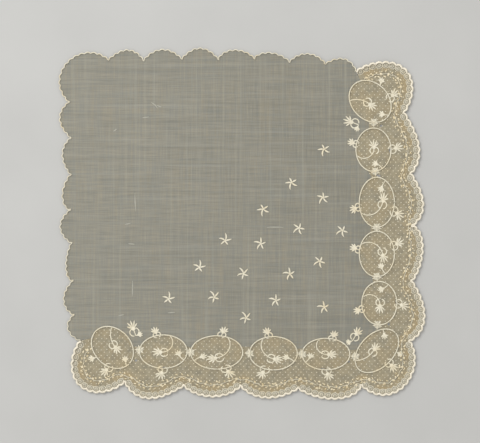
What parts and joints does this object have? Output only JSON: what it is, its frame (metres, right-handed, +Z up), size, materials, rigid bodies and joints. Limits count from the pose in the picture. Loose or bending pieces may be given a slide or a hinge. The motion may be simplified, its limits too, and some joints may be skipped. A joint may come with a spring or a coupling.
{
  "type": "lace handkerchief",
  "caption": "Square handkerchief of fine lawn with scalloped edges and an L-shaped lace border of corded oval medallions, leafy sprays and a roundel edging, lying flat.",
  "frame": {"origin": "bottom centre of the bounding box, on the surface that the cloth lies on", "axes": "+Z up from the surface, +X towards the lace side that stands right, +Y towards the plain scalloped edge opposite the other lace side"},
  "size_m": [0.4397, 0.4221, 0.0023],
  "materials": {
    "lawn": "sheer, slightly slubbed plain weave, matte",
    "net": "fine dotted net, aged, matte",
    "applique": "cream cotton thread work, matte"
  },
  "bodies": {
    "root": {"lawn": "lawn", "lace_border": "net", "medallion_01": "applique", "medallion_02": "applique", "medallion_03": "applique", "medallion_04": "applique", "medallion_05": "applique", "medallion_06": "applique", "medallion_07": "applique", "medallion_08": "applique", "medallion_09": "applique", "medallion_10": "applique", "medallion_11": "applique", "corner_spray_01": "applique", "corner_spray_02": "applique", "corner_spray_03": "applique", "sprig_01": "applique", "sprig_02": "applique", "sprig_03": "applique", "sprig_04": "applique", "sprig_05": "applique", "sprig_06": "applique", "sprig_07": "applique", "sprig_08": "applique", "sprig_09": "applique", "sprig_10": "applique", "sprig_11": "applique", "sprig_12": "applique", "sprig_13": "applique", "sprig_14": "applique", "sprig_15": "applique", "sprig_16": "applique", "sprig_17": "applique"}
  },
  "joints": []
}
